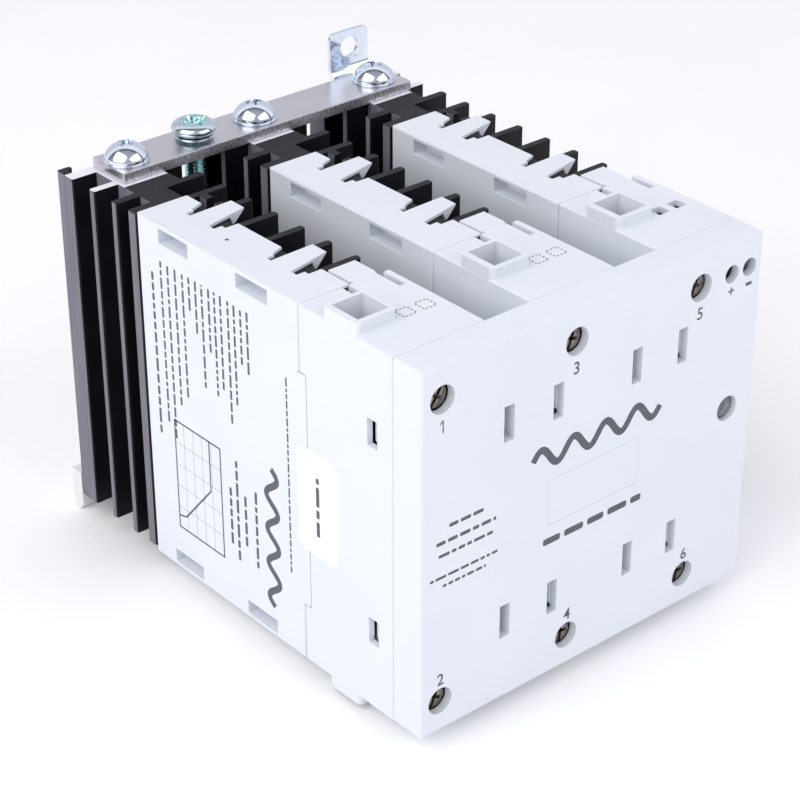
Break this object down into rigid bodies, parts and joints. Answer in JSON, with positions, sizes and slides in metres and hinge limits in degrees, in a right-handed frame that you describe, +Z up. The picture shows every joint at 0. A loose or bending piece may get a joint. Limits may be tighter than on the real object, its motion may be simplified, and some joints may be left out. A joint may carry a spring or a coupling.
{
  "type": "solid state relay",
  "caption": "Box-shaped solid state relay of finned poles under one front cover, with clamp screw terminals, an earth bar on top and a rail foot.",
  "frame": {"origin": "middle of the mounting rail on the rear mounting plane, halfway up the housings and halfway across the width", "axes": "+X to the right seen from the front, +Y to the rear into the rail, +Z up to the line terminals; the front cover faces -Y"},
  "size_m": [0.0901, 0.1211, 0.0966],
  "materials": {
    "housing_plastic": "fine spark-eroded moulding texture",
    "indicator_plastic": "smoked translucent lens",
    "sticker_film": "smooth film",
    "circuit_board": "solder mask",
    "black_anodised": "black anodised extrusion",
    "ceramic_module": "alumina with chips",
    "copper": "drawn copper",
    "nickel_screw": "dull nickel plate",
    "zinc_cage": "zinc-plated pressed steel",
    "mill_aluminium": "brushed along its length, sheared edges",
    "blue_zinc": "bright blue-white zinc",
    "teal_zinc": "teal passivated zinc",
    "foot_plastic": "translucent natural nylon",
    "spring_steel": "wire-cut strip"
  },
  "bodies": {
    "base": {"front_cover": "housing_plastic", "indicator_lens": "indicator_plastic", "link_board": "circuit_board", "side_sticker": "sticker_film", "terminal_housing_1": "housing_plastic", "terminal_housing_2": "housing_plastic", "terminal_housing_3": "housing_plastic", "rear_shell_1": "housing_plastic", "rear_shell_2": "housing_plastic", "rear_shell_3": "housing_plastic", "heat_sink_1": "black_anodised", "heat_sink_2": "black_anodised", "heat_sink_3": "black_anodised", "power_module_1": "ceramic_module", "power_module_2": "ceramic_module", "power_module_3": "ceramic_module", "trigger_board_1": "circuit_board", "trigger_board_2": "circuit_board", "trigger_board_3": "circuit_board", "line_busbar_1": "copper", "line_busbar_2": "copper", "line_busbar_3": "copper", "load_busbar_1": "copper", "load_busbar_2": "copper", "load_busbar_3": "copper", "control_contacts": "zinc_cage", "earth_bar": "mill_aluminium", "bar_screws": "blue_zinc", "mounting_bracket": "blue_zinc", "rear_screws": "blue_zinc", "rail_hook_1": "foot_plastic", "rail_hook_3": "foot_plastic", "latch_spring_1": "spring_steel", "latch_spring_3": "spring_steel"},
    "line_screw_1": {"line_screw_1": "nickel_screw"},
    "line_cage_1": {"line_cage_1": "zinc_cage"},
    "line_screw_2": {"line_screw_2": "nickel_screw"},
    "line_cage_2": {"line_cage_2": "zinc_cage"},
    "line_screw_3": {"line_screw_3": "nickel_screw"},
    "line_cage_3": {"line_cage_3": "zinc_cage"},
    "load_screw_1": {"load_screw_1": "nickel_screw"},
    "load_cage_1": {"load_cage_1": "zinc_cage"},
    "load_screw_2": {"load_screw_2": "nickel_screw"},
    "load_cage_2": {"load_cage_2": "zinc_cage"},
    "load_screw_3": {"load_screw_3": "nickel_screw"},
    "load_cage_3": {"load_cage_3": "zinc_cage"},
    "control_screw_plus": {"control_screw_plus": "nickel_screw"},
    "control_cage_plus": {"control_cage_plus": "zinc_cage"},
    "control_screw_minus": {"control_screw_minus": "nickel_screw"},
    "control_cage_minus": {"control_cage_minus": "zinc_cage"},
    "earth_washer": {"earth_washer": "teal_zinc"},
    "earth_screw": {"earth_screw": "teal_zinc"},
    "rail_latch_1": {"rail_latch_1": "foot_plastic"},
    "rail_latch_3": {"rail_latch_3": "foot_plastic"}
  },
  "joints": [
    {"name": "line_screw_1_turn", "type": "hinge", "parent": "base", "child": "line_screw_1", "pos_m": [-0.0399, -0.11, 0.0337], "axis": [0, 1, 0], "range_deg": [0, 2675]},
    {"name": "line_cage_1_rise", "type": "slide", "parent": "base", "child": "line_cage_1", "axis": [0, -1, 0], "range_m": [0, 0.0052]},
    {"name": "line_screw_2_turn", "type": "hinge", "parent": "base", "child": "line_screw_2", "pos_m": [-0.00615, -0.11, 0.0337], "axis": [0, 1, 0], "range_deg": [0, 2675]},
    {"name": "line_cage_2_rise", "type": "slide", "parent": "base", "child": "line_cage_2", "axis": [0, -1, 0], "range_m": [0, 0.0052]},
    {"name": "line_screw_3_turn", "type": "hinge", "parent": "base", "child": "line_screw_3", "pos_m": [0.0276, -0.11, 0.0337], "axis": [0, 1, 0], "range_deg": [0, 2675]},
    {"name": "line_cage_3_rise", "type": "slide", "parent": "base", "child": "line_cage_3", "axis": [0, -1, 0], "range_m": [0, 0.0052]},
    {"name": "load_screw_1_turn", "type": "hinge", "parent": "base", "child": "load_screw_1", "pos_m": [-0.0399, -0.11, -0.0337], "axis": [0, 1, 0], "range_deg": [0, 2675]},
    {"name": "load_cage_1_rise", "type": "slide", "parent": "base", "child": "load_cage_1", "axis": [0, -1, 0], "range_m": [0, 0.0052]},
    {"name": "load_screw_2_turn", "type": "hinge", "parent": "base", "child": "load_screw_2", "pos_m": [-0.00615, -0.11, -0.0337], "axis": [0, 1, 0], "range_deg": [0, 2675]},
    {"name": "load_cage_2_rise", "type": "slide", "parent": "base", "child": "load_cage_2", "axis": [0, -1, 0], "range_m": [0, 0.0052]},
    {"name": "load_screw_3_turn", "type": "hinge", "parent": "base", "child": "load_screw_3", "pos_m": [0.0276, -0.11, -0.0337], "axis": [0, 1, 0], "range_deg": [0, 2675]},
    {"name": "load_cage_3_rise", "type": "slide", "parent": "base", "child": "load_cage_3", "axis": [0, -1, 0], "range_m": [0, 0.0052]},
    {"name": "control_screw_plus_turn", "type": "hinge", "parent": "base", "child": "control_screw_plus", "pos_m": [0.0364, -0.11, 0.0338], "axis": [0, 1, 0], "range_deg": [0, 2017]},
    {"name": "control_cage_plus_rise", "type": "slide", "parent": "base", "child": "control_cage_plus", "axis": [0, -1, 0], "range_m": [0, 0.0028]},
    {"name": "control_screw_minus_turn", "type": "hinge", "parent": "base", "child": "control_screw_minus", "pos_m": [0.04148, -0.11, 0.0338], "axis": [0, 1, 0], "range_deg": [0, 2017]},
    {"name": "control_cage_minus_rise", "type": "slide", "parent": "base", "child": "control_cage_minus", "axis": [0, -1, 0], "range_m": [0, 0.0028]},
    {"name": "earth_washer_drop", "type": "slide", "parent": "base", "child": "earth_washer", "axis": [0, 0, -1], "range_m": [0, 0.0005]},
    {"name": "earth_screw_turn", "type": "hinge", "parent": "earth_washer", "child": "earth_screw", "pos_m": [-0.01588, -0.0092, 0.045], "axis": [0, 0, -1], "range_deg": [0, 226]},
    {"name": "rail_latch_1_pull", "type": "slide", "parent": "base", "child": "rail_latch_1", "axis": [0, 0, -1], "range_m": [0, 0.004], "stiffness_N_per_m": 400, "springref_m": -0.003, "deforming": ["latch_spring_1"]},
    {"name": "rail_latch_3_pull", "type": "slide", "parent": "base", "child": "rail_latch_3", "axis": [0, 0, -1], "range_m": [0, 0.004], "stiffness_N_per_m": 400, "springref_m": -0.003, "deforming": ["latch_spring_3"]}
  ],
  "couplings": [
    {"joint": "line_screw_1_turn", "follows": "line_cage_1_rise", "rad_per_m": 8976},
    {"joint": "line_screw_2_turn", "follows": "line_cage_2_rise", "rad_per_m": 8976},
    {"joint": "line_screw_3_turn", "follows": "line_cage_3_rise", "rad_per_m": 8976},
    {"joint": "load_screw_1_turn", "follows": "load_cage_1_rise", "rad_per_m": 8976},
    {"joint": "load_screw_2_turn", "follows": "load_cage_2_rise", "rad_per_m": 8976},
    {"joint": "load_screw_3_turn", "follows": "load_cage_3_rise", "rad_per_m": 8976},
    {"joint": "control_screw_plus_turn", "follows": "control_cage_plus_rise", "rad_per_m": 12566},
    {"joint": "control_screw_minus_turn", "follows": "control_cage_minus_rise", "rad_per_m": 12566},
    {"joint": "earth_screw_turn", "follows": "earth_washer_drop", "rad_per_m": 7854}
  ]
}
